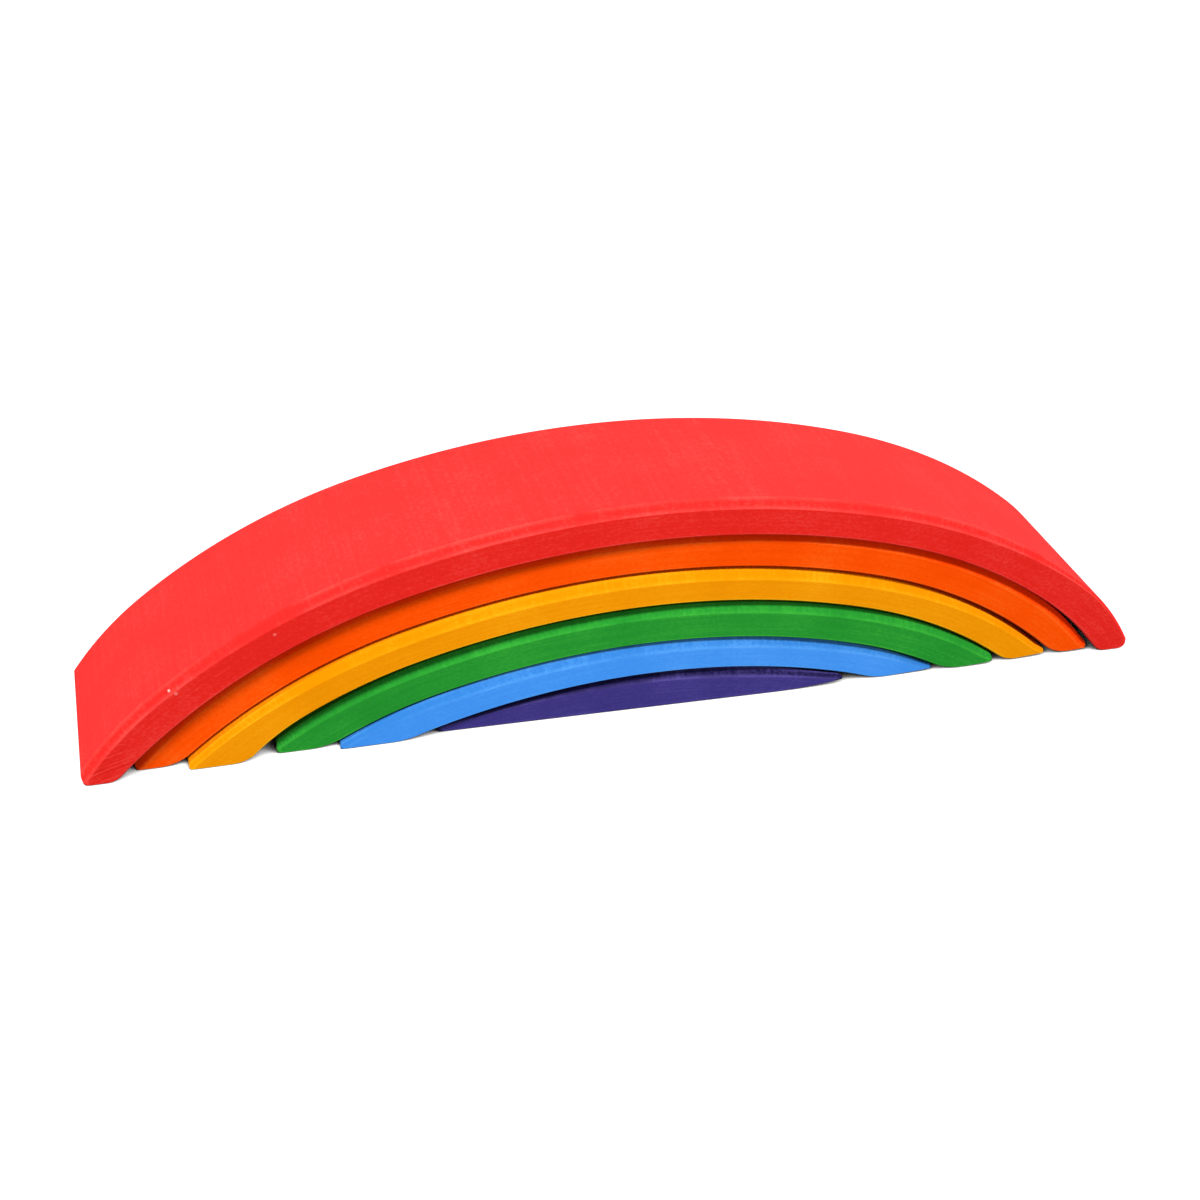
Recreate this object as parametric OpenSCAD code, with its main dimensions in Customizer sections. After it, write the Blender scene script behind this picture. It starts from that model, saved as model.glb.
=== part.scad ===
// Rainbow stacker: five nested wooden arches and a low solid core, all sawn from one plank.
// Every curve is a three-centred arc: a flatter crown and two tighter haunches that meet it smoothly.
// The curves of a centred row share the same three centres, so that each arch follows the one inside it.
// The loose pieces stand a little shifted and turned in the room that the gaps leave them.
// X runs along the row, -Y is the front, +Z is up, and the feet stand at Z = 0.

/* [Curve] */
// Height of the solid core, over which the arches nest
core_height = 13.8; // [10:0.1:20]
// Outer radius of the flatter middle of the outer arch
crown_radius = 321; // [300:1:345]
// Outer radius of the tighter ends of the outer arch
haunch_radius = 213; // [198:1:230]

/* [Section] */
// Depth of every piece from front to back
piece_depth = 63; // [40:1:90]
// Thickness of the red arch, square to its curve
red_thickness = 12.9; // [11:0.1:15]
// Thickness of the orange arch
orange_thickness = 12.6; // [11:0.1:15]
// Thickness of the yellow arch
yellow_thickness = 11; // [10:0.1:15]
// Thickness of the green arch
green_thickness = 12.7; // [11.5:0.1:15]
// Thickness of the blue arch
blue_thickness = 11; // [10:0.1:15]
// Gap over the orange arch, in a centred row
orange_gap = 1.3; // [1:0.1:3]
// Gap over the yellow arch
yellow_gap = 1.5; // [1.4:0.1:3]
// Gap over the green arch
green_gap = 3; // [2.8:0.1:4]
// Gap over the blue arch
blue_gap = 1.1; // [1.1:0.1:3]
// Gap over the purple core
purple_gap = 1.1; // [1:0.1:3]
// Width of the flat bevel on the front and back edges of an outer curve
outer_bevel = 2.8; // [1:0.1:5]
// Width of the eased front and back edges of an inner curve
inner_bevel = 0.7; // [0.3:0.1:3]

/* [Feet] */
// Radii of the red arch's rounded outer tips, left and right
red_tip_radii = [5, 5]; // [0.6:0.1:6]
// The same for the orange arch
orange_tip_radii = [3, 3]; // [0.6:0.1:4.5]
// The same for the yellow arch
yellow_tip_radii = [1.5, 1.7]; // [0.6:0.1:4.5]
// The same for the green arch
green_tip_radii = [2.2, 2.4]; // [0.6:0.1:4]
// The same for the blue arch
blue_tip_radii = [1, 1]; // [0.6:0.1:3.5]
// The same for the purple core
purple_tip_radii = [1, 1.5]; // [0.6:0.1:3]
// Radius of the rounded inner corners of the red arch's feet
red_heel_radius = 6.5; // [1:0.5:11]
// The same for the orange arch
orange_heel_radius = 16; // [1:0.5:26]
// The same for the yellow arch
yellow_heel_radius = 12; // [1:0.5:26]
// The same for the green arch
green_heel_radius = 26; // [1:0.5:32]
// The same for the blue arch
blue_heel_radius = 28; // [1:0.5:34]
// Width of the eased front and back edges under a piece
floor_bevel = 0.7; // [0.3:0.1:2]

/* [Row] */
// How far the middle of the orange arch's front stands behind the red one's
orange_set_back = 2.8; // [0:0.1:10]
// The same for the yellow arch
yellow_set_back = 0.8; // [0:0.1:10]
// The same for the green arch
green_set_back = 2.4; // [0:0.1:10]
// The same for the blue arch
blue_set_back = 1.6; // [0:0.1:10]
// The same for the purple core
purple_set_back = 2.3; // [0:0.1:10]
// How far the orange arch stands to the right of the middle
orange_shift = 0.6; // [-0.6:0.1:0.6]
// The same for the yellow arch
yellow_shift = -0.5; // [-0.7:0.1:0.5]
// The same for the green arch
green_shift = 2.6; // [1:0.1:2.8]
// The same for the blue arch
blue_shift = 1.7; // [1.5:0.1:3]
// The same for the purple core
purple_shift = 1.3; // [0.8:0.1:2.4]
// Degrees by which the orange arch is turned in its place, with its right end to the back
orange_turn = -0.3; // [-0.5:0.1:0.5]
// The same for the yellow arch
yellow_turn = 0.3; // [-0.5:0.1:0.5]
// The same for the green arch
green_turn = -0.6; // [-0.7:0.1:0.7]
// The same for the blue arch
blue_turn = 0.1; // [-0.5:0.1:0.5]
// The same for the purple core
purple_turn = -1.2; // [-1.3:0.1:1.3]

/* [Hidden] */
$fn = 128;
// Direction of the line through the crown's and a haunch's centre, as the sides of a 7-24-25 triangle
joint_run_share = 0.28;
joint_rise_share = 0.96;
// How far a rounding stands out past the faces that it joins, so that it crosses them cleanly
corner_lap = 0.04;
// How far a cutting shape passes the solid that it cuts
overrun = 1;
// Sizes of the pieces, listed from the red arch inwards
thicknesses = [red_thickness, orange_thickness, yellow_thickness, green_thickness, blue_thickness];
gaps = [orange_gap, yellow_gap, green_gap, blue_gap, purple_gap];
heel_radii = [red_heel_radius, orange_heel_radius, yellow_heel_radius, green_heel_radius, blue_heel_radius];
tip_radii = [
    red_tip_radii,
    orange_tip_radii,
    yellow_tip_radii,
    green_tip_radii,
    blue_tip_radii,
    purple_tip_radii,
];
set_backs = [0, orange_set_back, yellow_set_back, green_set_back, blue_set_back, purple_set_back];
shifts = [0, orange_shift, yellow_shift, green_shift, blue_shift, purple_shift];
turns = [0, orange_turn, yellow_turn, green_turn, blue_turn, purple_turn];
core_level = len(thicknesses);
// Height of the outer arch, and so of the whole row
arch_height = core_height + level_depth(core_level);
// Depth of the arcs' centres under the floor, and the haunch centre's distance from the middle
crown_drop = crown_radius - arch_height;
centre_step = crown_radius - haunch_radius;
haunch_shift = centre_step * joint_run_share;
haunch_drop = crown_drop - centre_step * joint_rise_share;
// Front and back of the whole row, measured from the middle of the red arch, and the shift that centres it
row_front = min([for (level = [0:core_level]) set_backs[level] - half_room(level)]);
row_back = max([for (level = [0:core_level]) set_backs[level] + half_room(level)]);
row_shift = (row_front + row_back) / 2;
// Sizes of cutting shapes that have to reach past everything
reach = crown_radius * 2;
corner_reach = arch_height;
cut_depth = piece_depth + overrun * 2;

// Depth of a piece's outer curve under the red arch's, counting levels inwards
function level_depth(level) =
    level == 0 ? 0 : level_depth(level - 1) + thicknesses[level - 1] + gaps[level - 1];
// Whether the curve at this depth under the outer one is still on its haunch at height z
function on_haunch(depth, z) = (crown_radius - depth) * joint_rise_share - crown_drop > z;
// Centre of the arc that the curve at this depth follows at height z
function arc_centre(depth, z) = on_haunch(depth, z) ? [haunch_shift, -haunch_drop] : [0, -crown_drop];
// Radius of that arc
function arc_radius(depth, z) = (on_haunch(depth, z) ? haunch_radius : crown_radius) - depth;
// Point of the curve at this depth and at height z, on the right
function curve_point(depth, z) =
    let (centre = arc_centre(depth, z), rise = z - centre.y)
    [centre.x + sqrt(arc_radius(depth, z) ^ 2 - rise ^ 2), z];
// Direction square to the curve there, pointing outwards
function curve_normal(depth, z) =
    (curve_point(depth, z) - arc_centre(depth, z)) / arc_radius(depth, z);
// Half the length of a piece's front face along the floor
function face_length(level) = curve_point(level_depth(level) + outer_bevel, outer_bevel).x;
// Half the room that a turned piece takes from front to back
function half_room(level) =
    cos(turns[level]) * piece_depth / 2 + abs(sin(turns[level])) * face_length(level);

// Stands a flat outline up in the XZ plane and gives it a depth along Y
module upright(depth) {
    rotate([90, 0, 0])
        linear_extrude(height = depth, center = true)
            children();
}

// Bevelled section of a piece, between its inner and outer radius
module section(outer, inner) {
    front = -piece_depth / 2;
    back = piece_depth / 2;
    polygon([
        [inner, front + inner_bevel],
        [inner + inner_bevel, front],
        [outer - outer_bevel, front],
        [outer, front + outer_bevel],
        [outer, back - outer_bevel],
        [outer - outer_bevel, back],
        [inner + inner_bevel, back],
        [inner, back - inner_bevel],
    ]);
}

// Full ring of the section about a level axis along Y
module ring(radius, depth, thickness) {
    outer = radius - depth;
    rotate([90, 0, 0])
        rotate_extrude()
            section(outer, outer - thickness);
}

// Middle of a piece: the part of its ring between the two joint lines
module crown(depth, thickness) {
    translate([0, 0, -crown_drop])
        intersection() {
            ring(crown_radius, depth, thickness);
            upright(cut_depth)
                polygon([
                    [0, 0],
                    [reach * joint_run_share, reach * joint_rise_share],
                    [-reach * joint_run_share, reach * joint_rise_share],
                ]);
        }
}

// Right end of a piece: the part of its ring beyond the joint line
module haunch(depth, thickness) {
    translate([haunch_shift, 0, -haunch_drop])
        intersection() {
            ring(haunch_radius, depth, thickness);
            upright(cut_depth)
                polygon([
                    [0, 0],
                    [reach, 0],
                    [reach, reach * joint_rise_share],
                    [reach * joint_run_share, reach * joint_rise_share],
                ]);
        }
}

// What a rounded corner takes away: the wedge between two directions, outside a round bar
module corner_waste(centre, radius, from, to) {
    middle = (from + to) / norm(from + to);
    difference() {
        upright(cut_depth)
            polygon([
                centre,
                centre + from * corner_reach,
                centre + middle * corner_reach * 2,
                centre + to * corner_reach,
            ]);
        translate([centre.x, 0, centre.y])
            rotate([90, 0, 0])
                cylinder(r = radius + corner_lap, h = cut_depth + overrun, center = true);
    }
}

// Waste at the outer tip of a right foot
module tip_waste(depth, radius) {
    inset = depth + radius;
    corner_waste(curve_point(inset, radius), radius, [0, -1], curve_normal(inset, radius));
}

// Waste at both outer tips of a piece
module both_tips_waste(level) {
    depth = level_depth(level);
    mirror([1, 0, 0])
        tip_waste(depth, tip_radii[level].x);
    tip_waste(depth, tip_radii[level].y);
}

// Waste at the inner corner of a right foot
module heel_waste(inner_depth, radius) {
    inset = inner_depth - radius;
    corner_waste(curve_point(inset, radius), radius, -curve_normal(inset, radius), [0, -1]);
}

// Waste along the front and back edges under a piece: a square bar on edge in each corner
module floor_edge_waste() {
    side = floor_bevel * sqrt(2);
    for (face = [-1, 1])
        translate([0, face * piece_depth / 2, 0])
            rotate([45, 0, 0])
                cube([reach, side, side], center = true);
}

// Everything on both sides of the middle
module both_ends() {
    children();
    mirror([1, 0, 0])
        children();
}

// A bent bar with its three arcs joined and its ends sawn off level with the floor
module bar(depth, thickness) {
    intersection() {
        union() {
            crown(depth, thickness);
            both_ends()
                haunch(depth, thickness);
        }
        translate([-reach / 2, -cut_depth / 2, 0])
            cube([reach, cut_depth, arch_height + overrun]);
    }
}

// A piece at its place in the row
module placed(level) {
    translate([shifts[level], set_backs[level] - row_shift, 0])
        rotate([0, 0, turns[level]])
            children();
}

// One arch, counted inwards from the outer one
module arch(level) {
    depth = level_depth(level);
    placed(level)
        difference() {
            bar(depth, thicknesses[level]);
            floor_edge_waste();
            both_tips_waste(level);
            both_ends()
                heel_waste(depth + thicknesses[level], heel_radii[level]);
        }
}

// The solid under the innermost arch
module core() {
    depth = level_depth(core_level);
    placed(core_level)
        difference() {
            bar(depth, core_height + overrun * 2);
            floor_edge_waste();
            both_tips_waste(core_level);
        }
}

module red_arch() {
    color("#f03a38")
        arch(0);
}

module orange_arch() {
    color("#f9500a")
        arch(1);
}

module yellow_arch() {
    color("#f29a08")
        arch(2);
}

module green_arch() {
    color("#269430")
        arch(3);
}

module blue_arch() {
    color("#4496f5")
        arch(4);
}

module purple_core() {
    color("#403687")
        core();
}

red_arch();
orange_arch();
yellow_arch();
green_arch();
blue_arch();
purple_core();
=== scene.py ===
import math

import bpy
import numpy as np
from mathutils import Color, Matrix, Vector


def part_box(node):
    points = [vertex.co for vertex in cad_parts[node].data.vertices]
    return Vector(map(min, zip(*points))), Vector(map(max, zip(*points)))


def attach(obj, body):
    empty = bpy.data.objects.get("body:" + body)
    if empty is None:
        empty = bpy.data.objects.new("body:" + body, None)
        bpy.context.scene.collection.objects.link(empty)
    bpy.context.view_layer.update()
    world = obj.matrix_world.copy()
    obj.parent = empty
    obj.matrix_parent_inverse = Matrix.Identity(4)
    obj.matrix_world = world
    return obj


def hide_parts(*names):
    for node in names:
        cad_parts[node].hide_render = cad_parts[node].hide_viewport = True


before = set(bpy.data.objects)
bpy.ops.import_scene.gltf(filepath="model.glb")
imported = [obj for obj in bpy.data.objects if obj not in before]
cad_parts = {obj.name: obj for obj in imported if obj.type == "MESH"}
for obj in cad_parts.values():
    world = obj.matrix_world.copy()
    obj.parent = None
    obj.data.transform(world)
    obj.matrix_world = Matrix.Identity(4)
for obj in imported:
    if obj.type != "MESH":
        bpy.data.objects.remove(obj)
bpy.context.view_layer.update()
print("frame: loaded", len(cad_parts), "wooden pieces")

# Metres throughout: X along the row, -Y to the front, Z up from the surface that the feet stand on.
# All curves of the row share three centres, one under the crown and one under each haunch.
bow = {
    "crownRadius": 0.321,
    "haunchRadius": 0.213,
    "runShare": 0.28,  # sine of the angle at which the crown passes into a haunch
    "riseShare": 0.96,  # cosine of the same angle
    "outerBevel": 0.0028,  # flat bevel along the outer curve
    "easedEdge": 0.0005,  # eased edges under the arch and along the floor
    "arrisShare": 0.12,  # rounding of a bevel's two arrises, as a share of the bevel
    "holdShare": 0.1,  # width of the strips that keep the surfaces beside a bevel true
    "tipKeepShare": 0.35,  # least share of a tip's radius that is left at the front face
    "fadeStart": 0.4,  # share of the way from the crown to a tip at which the bevel begins to run out
    "toeStart": 0.8,  # share of the way at which a curve begins to turn in
    "soleRun": 0.026,  # length over which a sole curves up to its tip
    "soleReach": 3,  # height up to which that curve is felt, in rises of the sole
}

# How finely a piece is drawn
mesh = {
    "arcSteps": 150,  # from the middle of the crown to a tip
    "cornerSteps": 12,  # round a tip or a heel
    "floorSteps": 6,  # along the sole of a foot
    "arrisSteps": 4,  # round an arris
    "bevelSteps": 2,
    "depthSteps": 8,
}

outerLow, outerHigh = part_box("red_arch")
archHeight = outerHigh.z
pieceDepth = outerHigh.y - outerLow.y
rowMiddle = (outerHigh.y + outerLow.y) / 2
crownDrop = bow["crownRadius"] - archHeight
centreStep = bow["crownRadius"] - bow["haunchRadius"]
haunchShift = centreStep * bow["runShare"]
haunchDrop = crownDrop - centreStep * bow["riseShare"]
jointAngle = math.asin(bow["runShare"])


# Point of the curve at some depth under the outer one:
# its arc's centre plus the radius left there, along the angle
def curvePoint(depth, angle):
    onCrown = angle <= jointAngle
    centreX = np.where(onCrown, 0, haunchShift)
    centreZ = np.where(onCrown, -crownDrop, -haunchDrop)
    radius = np.where(onCrown, bow["crownRadius"], bow["haunchRadius"]) - depth
    return np.stack([centreX + radius * np.sin(angle), centreZ + radius * np.cos(angle)], -1)


# Angle at which that curve comes down to a height, on its haunch or still on its crown
def angleAtHeight(depth, height):
    onHaunch = np.arccos((height + haunchDrop) / (bow["haunchRadius"] - depth))
    onCrown = np.arccos((height + crownDrop) / (bow["crownRadius"] - depth))
    return np.where(onHaunch > jointAngle, onHaunch, onCrown)


# Rounded corner: centre plus radius along an angle that runs from one direction to the other
def cornerArc(centre, radius, start, end, shares):
    angle = start + (end - start) * shares
    return centre + radius[..., None] * np.stack([np.sin(angle), np.cos(angle)], -1)


# Smooth step from 0 to 1 between two values
def smoothStep(values, low, high):
    share = np.clip((values - low) / (high - low), 0, 1)
    return share * share * (3 - 2 * share)


# Share of the bevel that is left on the way from the crown to a tip, where sanding has worn it down
def bevelShare(piece, side, arcShares):
    return 1 - (1 - piece["bevelEnds"][side]) * smoothStep(arcShares, bow["fadeStart"], 1)


# Half of the outlines, one per inset: outer curve, tip, sole, heel and inner curve, from crown to crown
def halfOutlines(piece, side, inset, insetUnder):
    arcShares = np.linspace(0, 1, mesh["arcSteps"] + 1)
    cornerShares = np.linspace(0, 1, mesh["cornerSteps"] + 1)
    tipRadius = piece["tipRadii"][side]
    soleRise = piece["soleRises"][side]
    turnIn = np.clip((arcShares - bow["toeStart"]) / (1 - bow["toeStart"]), 0, 1) ** 2
    outer = piece["depth"] + inset * bevelShare(piece, side, arcShares) + piece["toesIn"][side] * turnIn
    inset = inset * piece["bevelEnds"][side]
    tip = np.maximum(tipRadius - inset, tipRadius * bow["tipKeepShare"])
    tipAngle = angleAtHeight(outer[:, -1:] + tip, insetUnder + tip)
    tipCentre = curvePoint(outer[:, -1:] + tip, tipAngle)
    rows = [
        curvePoint(outer, tipAngle * arcShares),
        cornerArc(tipCentre, tip, tipAngle, math.pi, cornerShares[1:]),
    ]
    if piece["thickness"] is None:  # the solid core: its sole runs on to the middle
        soleShares = np.linspace(0, 1, mesh["arcSteps"] + mesh["cornerSteps"] // 2 + 1)
        soleEnd = np.stack([np.zeros_like(insetUnder), insetUnder], -1)
        soleStart = rows[-1][:, -1:]
        rows.append(soleStart + (soleEnd - soleStart) * soleShares[1:, None])
        return raisedSole(np.concatenate(rows, 1), soleRise)
    inner = piece["depth"] + piece["thickness"] - insetUnder + piece["heelsIn"][side] * turnIn
    heel = piece["heelRadius"] - insetUnder
    heelAngle = angleAtHeight(inner[:, -1:] - heel, insetUnder + heel)
    heelCentre = curvePoint(inner[:, -1:] - heel, heelAngle)
    soleShares = np.linspace(0, 1, mesh["floorSteps"] + 1)
    soleStart = rows[-1][:, -1:]
    soleEnd = np.stack([heelCentre[..., 0], insetUnder], -1)
    rows.append(soleStart + (soleEnd - soleStart) * soleShares[1:, None])
    rows.append(cornerArc(heelCentre, heel, math.pi, math.pi + heelAngle, cornerShares[1:]))
    rows.append(curvePoint(inner, heelAngle * arcShares)[:, -2::-1])
    return raisedSole(np.concatenate(rows, 1), soleRise)


# Sole that curves up to its tip: a rise with the square of the way along, less and less higher up
def raisedSole(outline, rise):
    tipX = outline[..., 0].max()
    way = np.clip((outline[..., 0] - tipX) / bow["soleRun"] + 1, 0, 1)
    felt = np.clip(1 - outline[..., 1] / (bow["soleReach"] * rise + bow["easedEdge"]), 0, 1)
    return outline + np.stack([0 * way, rise * way * way * felt], -1)


# Section of an edge as pairs of shares of the bevel, inwards from the edge and back from the face:
# a round arris, the flat bevel and a second round arris between two flat strips,
# each arc tangent to what it joins
def edgeSection():
    radius = bow["arrisShare"]
    reach = radius * math.tan(math.pi / 8)
    turn = np.linspace(0, math.pi / 4, mesh["arrisSteps"] + 1)
    first = np.stack([1 + reach - radius * np.sin(turn), radius * (1 - np.cos(turn))], -1)
    second = first[::-1, ::-1]
    flat = np.linspace(0, 1, mesh["bevelSteps"] + 2)[1:-1, None]
    flat = first[-1] + (second[0] - first[-1]) * flat
    strip = np.array([[1 + reach + bow["holdShare"], 0]])
    arris = np.concatenate([np.ones(len(first)), np.zeros(len(flat)), np.ones(len(second))])
    return np.concatenate([strip, first, flat, second, strip[:, ::-1]]), np.pad(arris, 1)


# Coons patch over four rows of points: the two ruled surfaces added, less the one through the corners
def coonsPatch(outer, inner, left, right):
    u = np.linspace(0, 1, len(outer))[None, :, None]
    v = np.linspace(0, 1, len(left))[:, None, None]
    ruled = (1 - v) * outer[None] + v * inner[None] + (1 - u) * left[:, None] + u * right[:, None]
    corners = (1 - v) * ((1 - u) * outer[0] + u * outer[-1]) + v * ((1 - u) * inner[0] + u * inner[-1])
    return ruled - corners


# Closed piece: its outline carried through the depth along the edge section, with a Coons patch on each face
def pieceMesh(piece):
    section, arris = edgeSection()
    inset = section[:, :1] * bow["outerBevel"]
    insetUnder = section[:, :1] * bow["easedEdge"]
    right = halfOutlines(piece, 1, inset, insetUnder)
    left = halfOutlines(piece, 0, inset, insetUnder)[:, -2:0:-1] * (-1, 1)
    ring = np.concatenate([right, left], 1)

    # width of the bevel round the ring: wide on the outer curve, narrow below, smooth round the tip
    steps = np.arange(right.shape[1])
    under = smoothStep(steps, mesh["arcSteps"], mesh["arcSteps"] + mesh["cornerSteps"])
    leftShare, rightShare = (bevelShare(piece, side, steps / mesh["arcSteps"]) for side in (0, 1))
    width = bow["outerBevel"] * np.concatenate([rightShare, leftShare[-2:0:-1]])
    under = np.concatenate([under, under[-2:0:-1]])
    setBack = section[:, 1:] * (width + (bow["easedEdge"] - width) * under)

    front = np.concatenate([ring, (setBack - pieceDepth / 2)[..., None]], -1)
    back = front[::-1] * (1, 1, -1)
    across = np.linspace(0, 1, mesh["depthSteps"] + 1)[1:-1, None, None]
    middle = front[-1] + (back[0] - front[-1]) * across
    levels = np.concatenate([front, middle, back])[..., [0, 2, 1]]
    edge = np.concatenate([arris, np.zeros(len(middle)), arris[::-1]])[:, None]
    curved = np.zeros(len(levels))
    faceLevels = 2  # levels of an edge section that lie in the surface at each of its ends
    curved[len(front) - faceLevels:len(levels) - len(front) + faceLevels] = 1
    masks = {
        "arris": edge * (1 - under),
        "rim": (1 - curved[:, None]) * under,
        "curved": curved[:, None] + 0 * under,
    }

    # four sides of a face's ring, from the middle of the left tip
    count = ring.shape[1]
    half = mesh["arcSteps"] + mesh["cornerSteps"] // 2
    endSteps = mesh["cornerSteps"] // 2
    if piece["thickness"] is not None:
        endSteps = mesh["cornerSteps"] + mesh["floorSteps"]
    outerSide = np.arange(-half, half + 1) % count
    rightSide = np.arange(half, half + endSteps + 1) % count
    innerSide = np.arange(count - half - endSteps, half + endSteps - 1, -1) % count
    leftSide = np.arange(count - half, count - half - endSteps - 1, -1) % count

    points = [levels.reshape(-1, 3)]
    quads = []
    ringIndex = np.arange(levels.shape[0] * count).reshape(-1, count)
    nextIndex = np.roll(ringIndex, -1, 1)
    corners = [ringIndex[:-1], nextIndex[:-1], nextIndex[1:], ringIndex[1:]]
    quads.append(np.stack(corners, -1).reshape(-1, 4))
    total = ringIndex.size
    for level, turned in ((0, True), (levels.shape[0] - 1, False)):
        rim = levels[level]
        patch = coonsPatch(rim[outerSide], rim[innerSide], rim[leftSide], rim[rightSide])
        inside = patch[1:-1, 1:-1].reshape(-1, 3)
        index = np.empty(patch.shape[:2], int)
        index[0] = outerSide
        index[-1] = innerSide
        index[:, 0] = leftSide
        index[:, -1] = rightSide
        index += level * count
        index[1:-1, 1:-1] = total + np.arange(len(inside)).reshape(patch.shape[0] - 2, -1)
        total += len(inside)
        points.append(inside)
        corners = [index[:-1, :-1], index[:-1, 1:], index[1:, 1:], index[1:, :-1]]
        quads.append(np.stack(corners[::-1] if turned else corners, -1).reshape(-1, 4))
    insideCount = total - ringIndex.size
    masks = {name: np.pad(mask.ravel(), (0, insideCount)) for name, mask in masks.items()}
    sawn = np.zeros(levels.shape[:2])
    sawn[:faceLevels] = 1
    sawn[-faceLevels:] = 1
    masks["sawnFace"] = np.pad(sawn.ravel(), (0, insideCount), constant_values=1)
    return np.concatenate(points), np.concatenate(quads), masks


# Loose pieces stand a little askew:
# turned about the upright axis through their middle, then shifted and set back
def placePoints(piece, points):
    turn = math.radians(piece["turn"])
    x = points[:, 0] * math.cos(turn) - points[:, 1] * math.sin(turn) + piece["shift"]
    y = points[:, 0] * math.sin(turn) + points[:, 1] * math.cos(turn) + rowMiddle + piece["setBack"]
    return np.stack([x, y, points[:, 2]], -1)


# Place on the bow: length along the arch at the haunch's radius, place across the piece from its middle,
# and depth under the outer curve
def bowPlace(points):
    x = np.abs(points[:, 0])
    onCrown = x * bow["riseShare"] <= (points[:, 2] + crownDrop) * bow["runShare"]
    sideways = np.where(onCrown, x, x - haunchShift)
    upwards = points[:, 2] + np.where(onCrown, crownDrop, haunchDrop)
    radius = np.where(onCrown, bow["crownRadius"], bow["haunchRadius"])
    along = np.arctan2(sideways, upwards) * bow["haunchRadius"] * np.sign(points[:, 0])
    return np.stack([along, points[:, 1], radius - np.hypot(sideways, upwards)], -1)


def addAttribute(data, name, kind, field, values):
    attribute = data.attributes.new(name, kind, "POINT")
    attribute.data.foreach_set(field, np.ascontiguousarray(values, np.float32).ravel())


def buildPiece(piece):
    points, quads, masks = pieceMesh(piece)
    data = bpy.data.meshes.new(piece["name"])
    data.from_pydata(placePoints(piece, points), [], quads)
    data.polygons.foreach_set("use_smooth", np.ones(len(quads), bool))
    addAttribute(data, "bowPlace", "FLOAT_VECTOR", "vector", bowPlace(points))
    for name, mask in masks.items():
        addAttribute(data, name, "FLOAT", "value", mask)
    data.validate()
    thing = bpy.data.objects.new(piece["name"], data)
    bpy.context.scene.collection.objects.link(thing)
    thing.data.materials.append(stainedWood(piece))
    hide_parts(piece["node"])
    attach(thing, piece["body"])
    print("piece:", piece["name"], len(points), "points,", len(quads), "quads")


noiseMiddle = 0.5  # value about which Blender's noise lies


# One output socket with arithmetic, and one method that makes any other node
class Wire:
    def __init__(self, tree, socket=None):
        self.tree = tree
        self.socket = socket

    def node(self, kind, settings=None, sockets=None, out=0):
        made = self.tree.nodes.new(kind)
        for name, value in (settings or {}).items():
            setattr(made, name, value)
        for name, value in (sockets or {}).items():
            if isinstance(value, Wire):
                self.tree.links.new(value.socket, made.inputs[name])
            else:
                made.inputs[name].default_value = value
        return Wire(self.tree, made.outputs[out] if made.outputs else None)

    def maths(self, operation, first, second):
        return self.node("ShaderNodeMath", {"operation": operation}, {0: first, 1: second})

    def __add__(self, other):
        return self.maths("ADD", self, other)

    def __radd__(self, other):
        return self.maths("ADD", other, self)

    def __sub__(self, other):
        return self.maths("SUBTRACT", self, other)

    def __rsub__(self, other):
        return self.maths("SUBTRACT", other, self)

    def __mul__(self, other):
        return self.maths("MULTIPLY", self, other)

    def __rmul__(self, other):
        return self.maths("MULTIPLY", other, self)

    def ramp(self, low, high, kind="SMOOTHSTEP"):  # 0 at low, 1 at high
        settings = {"interpolation_type": kind}
        return self.node("ShaderNodeMapRange", settings, {"Value": self, "From Min": low, "From Max": high})

    def mix(self, first, second):  # colours, by this factor
        settings = {"data_type": "RGBA"}
        return self.node("ShaderNodeMix", settings, {0: self, 6: first, 7: second}, 2)

    def scaled(self, *factors):  # a vector stretched along its axes
        return self.node("ShaderNodeVectorMath", {"operation": "MULTIPLY"}, {0: self, 1: factors})

    def near(self, spot, size):  # 1 up to half that size from a spot, 0 from the whole size on
        reach = self.node("ShaderNodeVectorMath", {"operation": "DISTANCE"}, {0: self, 1: spot}, 1)
        return reach.ramp(size, size / 2)

    def noise(self, detail, roughness):  # uneven values to both sides of 0
        sockets = {"Vector": self, "Scale": 1, "Detail": detail, "Roughness": roughness}
        return self.node("ShaderNodeTexNoise", None, sockets) - noiseMiddle


# Linear colour from a hexadecimal one
def stain(code):
    shares = [byte / 255 for byte in bytes.fromhex(code)]
    return [*Color(shares).from_srgb_to_scene_linear(), 1]


# How the stain takes on the wood, the same for all pieces; scales are in repeats for each metre
finish = {
    "mottleScale": (30, 44, 30), "mottleDetail": 4, "mottleRoughness": 0.55,
    "streakScale": (900, 14, 60),  # sanding across the curved faces and bevels
    "scratchScale": (22, 60, 1100),  # sanding along the flat faces
    "lineDetail": 3, "lineRoughness": 0.6,  # of both kinds of sanding lines
    "poreScale": (800, 800, 1400), "poreDetail": 2, "poreRoughness": 0.6,
    "markScale": (40, 0, 1000), "markDetail": 1, "markRoughness": 0.5,  # slanting marks of a saw
    "fullShade": 0.35,  # unevenness at which the deep or the pale stain shows in full
    "paleEdgeLow": -0.2, "paleEdgeHigh": 0.1,  # mottle between which a pale arris or rim, worn stain and painted highlight, goes from stained to pale
    "gloss": 0, "roughness": 0.6, "roughnessSpread": 0.2,
    "sheen": 0.45, "sheenRoughness": 0.45,
    "reliefDepth": 0.0002, "reliefStrength": 0.25, "lineRelief": 0.6, "poreRelief": 0.4,
}
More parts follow.
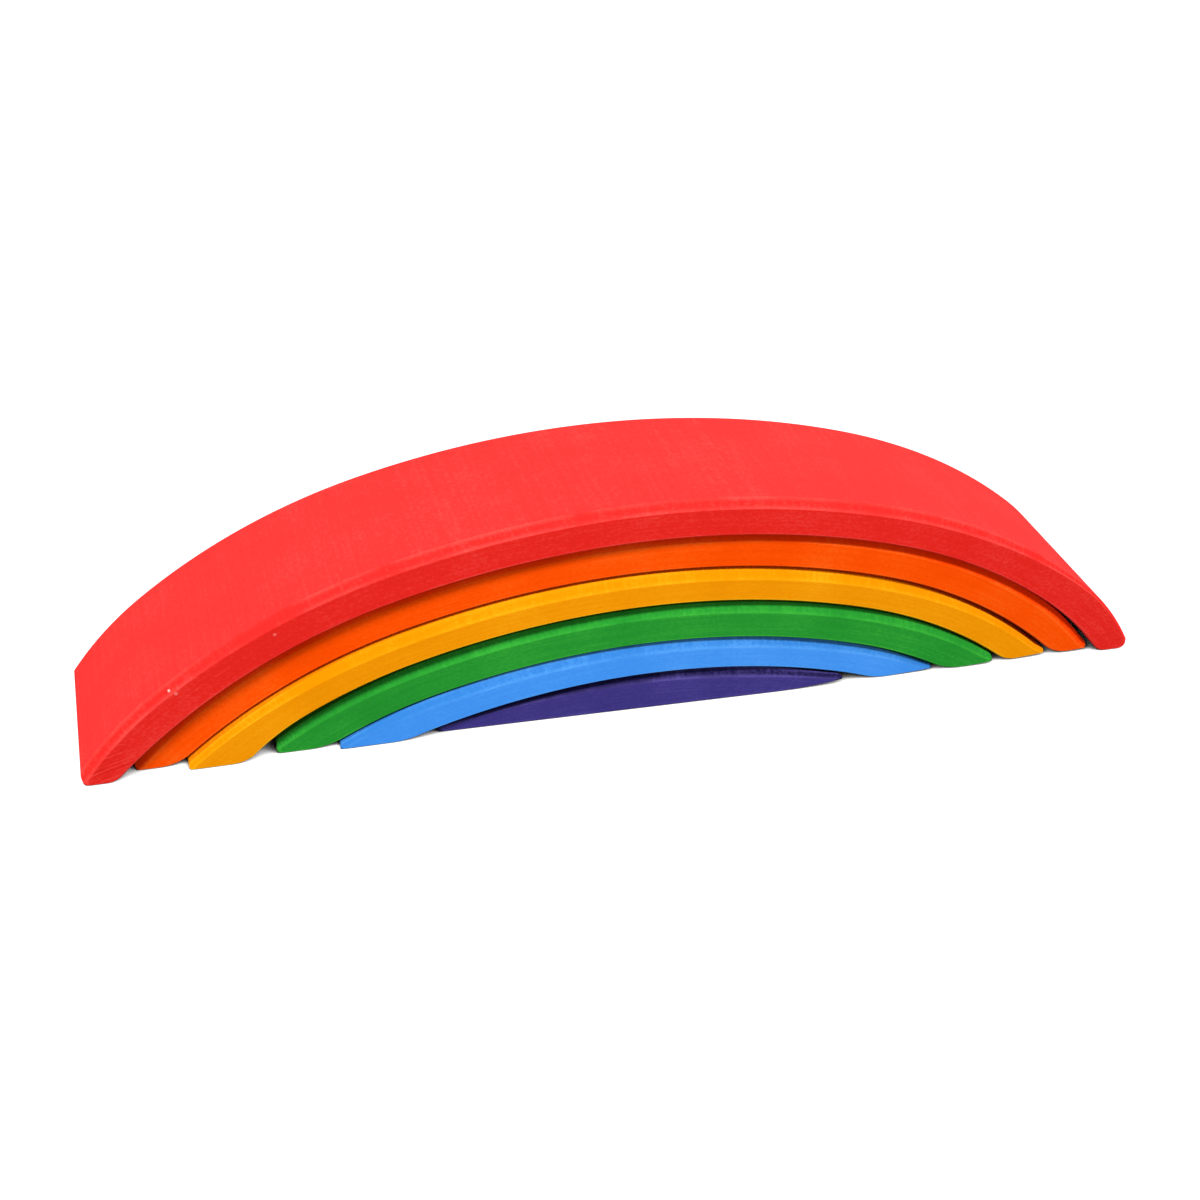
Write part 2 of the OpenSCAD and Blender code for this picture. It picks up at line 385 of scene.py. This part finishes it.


# Water stain on sanded wood: it sinks in unevenly and keeps the marks of sanding; paler arrises and rims are
# worn stain and painted highlight
def stainedWood(piece):
    material = bpy.data.materials.new(piece["slot"])
    material.use_nodes = True
    tree = material.node_tree
    tree.nodes.clear()
    wire = Wire(tree)
    place = wire.node("ShaderNodeTexCoord", out="Object")
    onBow = wire.node("ShaderNodeAttribute", {"attribute_name": "bowPlace"}, out="Vector")
    arris, rim, curved, sawnFace = (
        wire.node("ShaderNodeAttribute", {"attribute_name": name}, out="Fac")
        for name in ("arris", "rim", "curved", "sawnFace")
    )

    mottle = place.scaled(*finish["mottleScale"]).noise(finish["mottleDetail"], finish["mottleRoughness"])
    streaks, scratches = (
        onBow.scaled(*finish[scale]).noise(finish["lineDetail"], finish["lineRoughness"])
        for scale in ("streakScale", "scratchScale")
    )
    pores = place.scaled(*finish["poreScale"]).noise(finish["poreDetail"], finish["poreRoughness"])
    lines = streaks + sawnFace * (scratches - streaks)

    # unevenness of the stain, with slanting marks on the front of a foot
    shade = mottle * piece["mottle"] + lines * piece["lines"] + pores * piece["pores"]
    for middle, height, slope, size, strength in piece.get("sawMarks", ()):
        spot = (middle, rowMiddle - pieceDepth / 2, height)
        slanted = wire.node("ShaderNodeVectorRotate", {"rotation_type": "Y_AXIS"}, {
            "Vector": place, "Center": spot, "Angle": math.radians(slope),
        })
        marks = slanted.scaled(*finish["markScale"]).noise(finish["markDetail"], finish["markRoughness"])
        shade = shade + place.near(spot, size) * sawnFace * marks * strength

    # curved faces and bevels take their own stain, which also carries painted shading: lighter on the lit
    # red top, darker on bevels that lie in shade
    base = sawnFace.mix(stain(piece["curvedStainWithPaintedShading"]), stain(piece["faceStain"]))
    darker = (0 - shade).ramp(0, finish["fullShade"], "LINEAR").mix(base, stain(piece["deepStain"]))
    paler = shade.ramp(0, finish["fullShade"], "LINEAR").mix(darker, stain(piece["paleStain"]))
    patchy = mottle.ramp(finish["paleEdgeLow"], finish["paleEdgeHigh"])
    # paler arrises and eased lower rims: partly worn stain, partly a painted highlight
    edgeWearAndHighlight = (arris * piece["arrisWearAndHighlight"] + rim * piece["rimWearAndHighlight"]) * patchy
    wornAndHighlighted = edgeWearAndHighlight.mix(paler, stain(piece["paleStain"]))

    # small chips near the front, some down to bare wood
    for along, back, depth, size, bare in piece.get("nicks", ()):
        spot = (along, back - pieceDepth / 2, depth)
        wornAndHighlighted = (onBow.near(spot, size) * bare).mix(wornAndHighlighted, stain(piece["nickStain"]))

    relief = wire.node("ShaderNodeBump", None, {
        "Strength": finish["reliefStrength"],
        "Distance": finish["reliefDepth"],
        "Height": lines * finish["lineRelief"] + pores * finish["poreRelief"],
    })
    shader = wire.node("ShaderNodeBsdfPrincipled", None, {
        "Base Color": wornAndHighlighted,
        "Roughness": finish["roughness"] + lines * finish["roughnessSpread"],
        "Normal": relief,
        "Specular IOR Level": finish["gloss"],
        "Coat Weight": curved * finish["sheen"],
        "Coat Roughness": finish["sheenRoughness"],
    })
    wire.node("ShaderNodeOutputMaterial", None, {"Surface": shader})
    return material


# The pieces from the outside in, in metres and degrees; pairs are for the left and the right foot
redArch = {
    "name": "redArch", "node": "red_arch", "body": "red", "slot": "red_stain",
    "gapUnder": 0.0013, "shift": 0, "setBack": 0, "turn": 0,
    "tipRadii": (0.003, 0.003), "soleRises": (0, 0), "toesIn": (0.0022, 0.0034), "bevelEnds": (0.95, 0.3),
    "heelRadius": 0.0065, "heelsIn": (0, 0.0013),
    # the curved stain is brighter than the face stain: painted light on the top
    "faceStain": "e02620", "curvedStainWithPaintedShading": "f82825", "deepStain": "b01612", "paleStain": "f8625a",
    "mottle": 0.15, "lines": 0.15, "pores": 0.22, "arrisWearAndHighlight": 0.3, "rimWearAndHighlight": 0.3,
    "nickStain": "ffd0c4",
    "nicks": (  # place along the arch, back from the front and under the outer curve, size, bareness
        (-0.1386, 0.0011, 0.0017, 0.0006, 0.6),
        (-0.1374, 0, 0.0035, 0.0008, 0.2),
        (-0.1002, 0, 0.0051, 0.0007, 0.18),
    ),
    "sawMarks": ((-0.178, 0.0053, 17, 0.011, 0.5),),  # place along the row, height, slope, size and strength
}
orangeArch = {
    "name": "orangeArch", "node": "orange_arch", "body": "orange", "slot": "orange_stain",
    "gapUnder": 0.0015, "shift": 0.0006, "setBack": 0.0031, "turn": -0.5,
    "tipRadii": (0.0016, 0.0016), "soleRises": (0, 0.0012), "toesIn": (0.0015, 0.0018), "bevelEnds": (1, 1),
    "heelRadius": 0.016, "heelsIn": (0, 0),
    "faceStain": "f54e04", "curvedStainWithPaintedShading": "f04002", "deepStain": "c03000", "paleStain": "ff8a30",
    "mottle": 0.2, "lines": 0.12, "pores": 0.15, "arrisWearAndHighlight": 0.2, "rimWearAndHighlight": 0.3,
}
yellowArch = {
    "name": "yellowArch", "node": "yellow_arch", "body": "yellow", "slot": "yellow_stain",
    "gapUnder": 0.003, "shift": -0.0005, "setBack": 0.0014, "turn": 0.1,
    "tipRadii": (0.0012, 0.001), "soleRises": (0, 0.0014), "toesIn": (0, 0), "bevelEnds": (0.6, 0.6),
    "heelRadius": 0.012, "heelsIn": (0.0018, 0),
    "faceStain": "eb9106", "curvedStainWithPaintedShading": "de8603", "deepStain": "c06c00", "paleStain": "ffc020",
    "mottle": 0.2, "lines": 0.15, "pores": 0.15, "arrisWearAndHighlight": 0.2, "rimWearAndHighlight": 0.8,
}
greenArch = {
    "name": "greenArch", "node": "green_arch", "body": "green", "slot": "green_stain",
    "gapUnder": 0.0011, "shift": 0.003, "setBack": 0.0024, "turn": -0.6,
    "tipRadii": (0.0028, 0.0021), "soleRises": (0, 0.001), "toesIn": (0, 0), "bevelEnds": (0.8, 0.8),
    "heelRadius": 0.026, "heelsIn": (0, 0),
    "faceStain": "25902f", "curvedStainWithPaintedShading": "248a2c", "deepStain": "146418", "paleStain": "4cc040",
    "mottle": 0.25, "lines": 0.2, "pores": 0.2, "arrisWearAndHighlight": 0.2, "rimWearAndHighlight": 0.6,
}
blueArch = {
    "name": "blueArch", "node": "blue_arch", "body": "blue", "slot": "blue_stain",
    "gapUnder": 0.0011, "shift": 0.0017, "setBack": 0.0016, "turn": 0.1,
    "tipRadii": (0.001, 0.001), "soleRises": (0, 0.001), "toesIn": (0, 0), "bevelEnds": (0.6, 0.6),
    "heelRadius": 0.028, "heelsIn": (0, 0),
    "faceStain": "4292ee", "curvedStainWithPaintedShading": "3276c2", "deepStain": "2468c0", "paleStain": "70b8ff",
    "mottle": 0.2, "lines": 0.12, "pores": 0.15, "arrisWearAndHighlight": 0.2, "rimWearAndHighlight": 0.4,
    "nickStain": "d8ecff", "nicks": ((0.0823, 0.0026, 0.0566, 0.0007, 0.5),),
}
purpleCore = {
    "name": "purpleCore", "node": "purple_core", "body": "core", "slot": "purple_stain",
    "shift": 0.0013, "setBack": 0.0023, "turn": -1.2,
    "tipRadii": (0.002, 0.0015), "soleRises": (0, 0.0022), "toesIn": (0, 0.0006), "bevelEnds": (0.6, 0.6),
    # the curved stain is far darker than the face stain: painted shade on the bevel under the blue arch
    "faceStain": "3e367f", "curvedStainWithPaintedShading": "1c183f", "deepStain": "241c58", "paleStain": "6a5cb0",
    "mottle": 0.25, "lines": 0.15, "pores": 0.2, "arrisWearAndHighlight": 0.4, "rimWearAndHighlight": 0.2,
}

# Depth and thickness of each piece follow from the tops of the nested pieces
row = [redArch, orangeArch, yellowArch, greenArch, blueArch, purpleCore]
for piece, inside in zip(row, row[1:] + [None]):
    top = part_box(piece["node"])[1].z
    piece["depth"] = archHeight - top
    piece["thickness"] = None
    if inside is not None:
        piece["thickness"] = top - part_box(inside["node"])[1].z - piece["gapUnder"]
    buildPiece(piece)

# Pale floor: it shows white, dims only where pieces stand close over it, and throws little light back
floor = {
    "radius": 6, "sides": 96,
    "shade": "878787", "contactShade": "2c201a", "roughness": 0.9,
    "contactReach": 0.02,  # distance within which pieces dim it
    "contactLow": 0.1, "contactHigh": 0.38,  # openness at which it is darkest, and from which it is white
}


def buildFloor():
    angle = np.linspace(0, 2 * math.pi, floor["sides"], endpoint=False)
    rim = np.stack([np.sin(angle), -np.cos(angle), np.zeros_like(angle)], -1) * floor["radius"]
    data = bpy.data.meshes.new("floor")
    data.from_pydata(rim, [], [list(range(floor["sides"]))])
    thing = bpy.data.objects.new("floor", data)
    bpy.context.scene.collection.objects.link(thing)
    material = bpy.data.materials.new("paleFloor")
    material.use_nodes = True
    material.node_tree.nodes.clear()
    wire = Wire(material.node_tree)
    seen = wire.node("ShaderNodeLightPath", out="Is Camera Ray")
    openness = wire.node("ShaderNodeAmbientOcclusion", None, {"Distance": floor["contactReach"]}, "AO")
    clear = openness.ramp(floor["contactLow"], floor["contactHigh"])
    shader = wire.node("ShaderNodeBsdfPrincipled", None, {
        "Base Color": clear.mix(stain(floor["contactShade"]), stain(floor["shade"])),
        "Roughness": floor["roughness"], "Specular IOR Level": 0,
        "Emission Color": seen * clear, "Emission Strength": 1,
    })
    wire.node("ShaderNodeOutputMaterial", None, {"Surface": shader})
    data.materials.append(material)


buildFloor()
print("floor: laid")

# One softbox high up in front, a little to the left, and even white light from all round
studio = {
    "keyPlace": (-0.35, -1.15, 2), "keyLength": 0.9, "keyWidth": 0.35, "keyPower": 64,
    "skyStrength": 0.557,
}


def lightStudio():
    lamp = bpy.data.lights.new("softbox", "AREA")
    lamp.shape = "RECTANGLE"
    lamp.size = studio["keyLength"]
    lamp.size_y = studio["keyWidth"]
    lamp.energy = studio["keyPower"]
    thing = bpy.data.objects.new("softbox", lamp)
    thing.location = studio["keyPlace"]
    thing.rotation_euler = (-Vector(studio["keyPlace"])).to_track_quat("-Z", "Y").to_euler()
    bpy.context.scene.collection.objects.link(thing)
    world = bpy.data.worlds.new("studio")
    world.use_nodes = True
    world.node_tree.nodes.clear()
    wire = Wire(world.node_tree)
    lightPath = wire.node("ShaderNodeLightPath", out="Is Camera Ray")
    sky = studio["skyStrength"] + lightPath * (1 - studio["skyStrength"])
    glow = wire.node("ShaderNodeBackground", None, {"Color": (1, 1, 1, 1), "Strength": sky})
    wire.node("ShaderNodeOutputWorld", None, {"Surface": glow})
    bpy.context.scene.world = world
    bpy.context.scene.view_settings.view_transform = "Standard"


lightStudio()
print("light: set")

# The viewpoint: angles in degrees, distance and target in metres, focal length in pixels of the picture
viewpoint = {
    "azimuth": -17.407, "elevation": 32.938, "roll": 3.02, "distance": 0.624753,
    "target": (-0.008702, rowMiddle, 0.027359),
    "focalPixels": 1784.24, "picturePixels": 1200, "sensor": 36, "clipStart": 0.01,
}


def placeCamera():
    azimuth = math.radians(viewpoint["azimuth"])
    elevation = math.radians(viewpoint["elevation"])
    flat = math.cos(elevation)
    backwards = Vector((math.sin(azimuth) * flat, -math.cos(azimuth) * flat, math.sin(elevation)))
    turn = backwards.to_track_quat("Z", "Y").to_matrix()
    turn = turn @ Matrix.Rotation(math.radians(viewpoint["roll"]), 3, "Z")
    lens = bpy.data.cameras.new("camera")
    lens.sensor_width = viewpoint["sensor"]
    lens.lens = viewpoint["sensor"] * viewpoint["focalPixels"] / viewpoint["picturePixels"]
    lens.clip_start = viewpoint["clipStart"]
    thing = bpy.data.objects.new("camera", lens)
    centre = Vector(viewpoint["target"]) + backwards * viewpoint["distance"]
    thing.matrix_world = Matrix.Translation(centre) @ turn.to_4x4()
    bpy.context.scene.collection.objects.link(thing)
    bpy.context.scene.camera = thing


placeCamera()
print("camera: placed")
